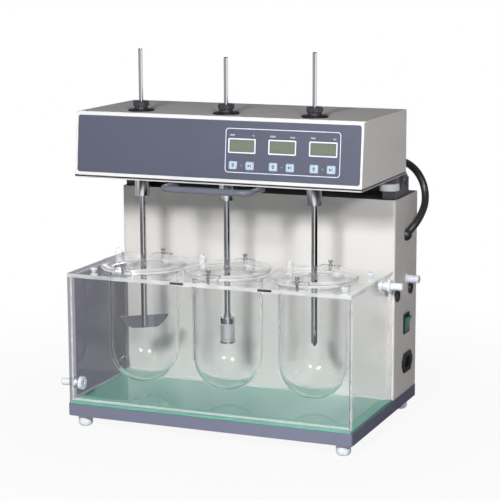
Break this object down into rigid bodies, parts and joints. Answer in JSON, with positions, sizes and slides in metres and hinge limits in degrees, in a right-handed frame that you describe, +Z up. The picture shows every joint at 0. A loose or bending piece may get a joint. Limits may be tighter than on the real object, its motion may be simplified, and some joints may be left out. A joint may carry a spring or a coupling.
{
  "type": "dissolution tester",
  "caption": "Bench dissolution tester: clear water bath with round-bottomed glass vessels, rear column and hinged drive head that turns paddles and a mesh basket.",
  "frame": {"origin": "on the bench under the middle of the object's footprint", "axes": "+Z up, -Y towards the front with the panel, +X to the viewer's right"},
  "size_m": [0.5009, 0.3167, 0.5765],
  "materials": {
    "tray_paint": "satin blue-grey enamel",
    "white_plastic": "moulded white plastic",
    "mat_foam": "pale green foam",
    "clear_acrylic": "clear cast acrylic, polished",
    "vessel_glass": "clear borosilicate glass",
    "housing_paint": "fine-textured warm grey enamel",
    "floor_paint": "satin grey enamel",
    "bezel_white": "satin white enamel",
    "panel_film": "matt printed film",
    "key_film": "matt pale blue film",
    "display_window": "grey-green display glass",
    "bracket_paint": "satin dark grey enamel",
    "bright_metal": "bright plating",
    "stainless": "fine-turned stainless steel",
    "black_plastic": "fine-grained black plastic",
    "black_rubber": "matt black rubber",
    "green_plastic": "glossy green plastic",
    "handle_paint": "satin grey enamel",
    "motor_paint": "satin black enamel"
  },
  "bodies": {
    "base": {"base_tray": "tray_paint", "feet": "white_plastic", "base_mat": "mat_foam", "tank": "clear_acrylic", "vessel_plate": "clear_acrylic", "plate_pegs": "white_plastic", "plate_buffers": "black_rubber", "vessel_1": "vessel_glass", "vessel_2": "vessel_glass", "vessel_3": "vessel_glass", "clamp_bars": "clear_acrylic", "clamp_screws": "bright_metal", "column_shell": "housing_paint", "column_back": "housing_paint", "hinge_brackets": "bracket_paint", "hinge_pins": "bright_metal", "rest_pads": "white_plastic", "sensor_socket": "bright_metal", "column_grommets": "black_rubber", "switch_bezel": "black_plastic", "power_inlet": "black_plastic", "hose_nipples": "white_plastic", "circulation_heater": "motor_paint", "signal_cable": "black_rubber"},
    "head": {"head_cover": "housing_paint", "front_bezel": "bezel_white", "front_panel": "panel_film", "bottom_plate": "floor_paint", "displays": "display_window", "handle": "handle_paint", "head_gland": "black_rubber", "bearing_sleeves": "bright_metal", "bearings": "stainless", "motor": "motor_paint", "drive_belts": "black_rubber", "roof_washers": "black_plastic"},
    "motor_rotor": {"motor_pulley": "stainless"},
    "rocker": {"power_rocker": "green_plastic"},
    "stirrer_1": {"shaft_1": "stainless", "paddle_1": "stainless"},
    "stirrer_2": {"shaft_2": "stainless", "basket_cap": "stainless", "basket": "stainless"},
    "stirrer_3": {"shaft_3": "stainless", "paddle_3": "stainless"},
    "spindle_1": {"spindle_1": "stainless"},
    "collet_1": {"collet_nut_1": "black_plastic"},
    "lid_1": {"lid_1": "clear_acrylic"},
    "spindle_2": {"spindle_2": "stainless"},
    "collet_2": {"collet_nut_2": "black_plastic"},
    "lid_2": {"lid_2": "clear_acrylic"},
    "spindle_3": {"spindle_3": "stainless"},
    "collet_3": {"collet_nut_3": "black_plastic"},
    "lid_3": {"lid_3": "clear_acrylic"},
    "key_1": {"key_1": "key_film"},
    "key_2": {"key_2": "key_film"},
    "key_3": {"key_3": "key_film"},
    "key_4": {"key_4": "key_film"},
    "key_5": {"key_5": "key_film"},
    "key_6": {"key_6": "key_film"}
  },
  "joints": [
    {"name": "head_tilt", "type": "hinge", "parent": "base", "child": "head", "pos_m": [0, 0.102, 0.37], "axis": [-1, 0, 0], "range_deg": [0, 2.2], "deforming": ["signal_cable"]},
    {"name": "spindle_1_spin", "type": "hinge", "parent": "head", "child": "spindle_1", "pos_m": [-0.14, -0.0685, 0.44], "axis": [0, 0, 1], "continuous": true},
    {"name": "stirrer_1_lift", "type": "slide", "parent": "spindle_1", "child": "stirrer_1", "axis": [0, 0, 1], "range_m": [-0.055, 0.066]},
    {"name": "collet_1_turn", "type": "hinge", "parent": "spindle_1", "child": "collet_1", "pos_m": [-0.14, -0.0685, 0.49], "axis": [0, 0, 1], "range_deg": [0, 180]},
    {"name": "lid_1_lift", "type": "slide", "parent": "base", "child": "lid_1", "axis": [0, 0, 1], "range_m": [0, 0.08]},
    {"name": "spindle_2_spin", "type": "hinge", "parent": "head", "child": "spindle_2", "pos_m": [0, -0.0685, 0.44], "axis": [0, 0, 1], "continuous": true},
    {"name": "stirrer_2_lift", "type": "slide", "parent": "spindle_2", "child": "stirrer_2", "axis": [0, 0, 1], "range_m": [-0.042, 0.056]},
    {"name": "collet_2_turn", "type": "hinge", "parent": "spindle_2", "child": "collet_2", "pos_m": [0, -0.0685, 0.49], "axis": [0, 0, 1], "range_deg": [0, 180]},
    {"name": "lid_2_lift", "type": "slide", "parent": "base", "child": "lid_2", "axis": [0, 0, 1], "range_m": [0, 0.08]},
    {"name": "spindle_3_spin", "type": "hinge", "parent": "head", "child": "spindle_3", "pos_m": [0.14, -0.0685, 0.44], "axis": [0, 0, 1], "continuous": true},
    {"name": "stirrer_3_lift", "type": "slide", "parent": "spindle_3", "child": "stirrer_3", "axis": [0, 0, 1], "range_m": [-0.055, 0.066]},
    {"name": "collet_3_turn", "type": "hinge", "parent": "spindle_3", "child": "collet_3", "pos_m": [0.14, -0.0685, 0.49], "axis": [0, 0, 1], "range_deg": [0, 180]},
    {"name": "lid_3_lift", "type": "slide", "parent": "base", "child": "lid_3", "axis": [0, 0, 1], "range_m": [0, 0.08]},
    {"name": "motor_spin", "type": "hinge", "parent": "head", "child": "motor_rotor", "pos_m": [0, 0.0255, 0.43], "axis": [0, 0, 1], "continuous": true},
    {"name": "key_1_press", "type": "slide", "parent": "head", "child": "key_1", "axis": [0, 0.9956, -0.0938], "range_m": [0, 0.0005], "stiffness_N_per_m": 400},
    {"name": "key_2_press", "type": "slide", "parent": "head", "child": "key_2", "axis": [0, 0.9956, -0.0938], "range_m": [0, 0.0005], "stiffness_N_per_m": 400},
    {"name": "key_3_press", "type": "slide", "parent": "head", "child": "key_3", "axis": [0, 0.9956, -0.0938], "range_m": [0, 0.0005], "stiffness_N_per_m": 400},
    {"name": "key_4_press", "type": "slide", "parent": "head", "child": "key_4", "axis": [0, 0.9956, -0.0938], "range_m": [0, 0.0005], "stiffness_N_per_m": 400},
    {"name": "key_5_press", "type": "slide", "parent": "head", "child": "key_5", "axis": [0, 0.9956, -0.0938], "range_m": [0, 0.0005], "stiffness_N_per_m": 400},
    {"name": "key_6_press", "type": "slide", "parent": "head", "child": "key_6", "axis": [0, 0.9956, -0.0938], "range_m": [0, 0.0005], "stiffness_N_per_m": 400},
    {"name": "rocker_tip", "type": "hinge", "parent": "base", "child": "rocker", "pos_m": [0.228, 0.1015, 0.148], "axis": [0, -1, 0], "range_deg": [0, 24]}
  ],
  "couplings": [
    {"joint": "spindle_1_spin", "follows": "spindle_2_spin", "ratio": 1},
    {"joint": "spindle_3_spin", "follows": "spindle_2_spin", "ratio": 1},
    {"joint": "motor_spin", "follows": "spindle_2_spin", "ratio": 1}
  ]
}
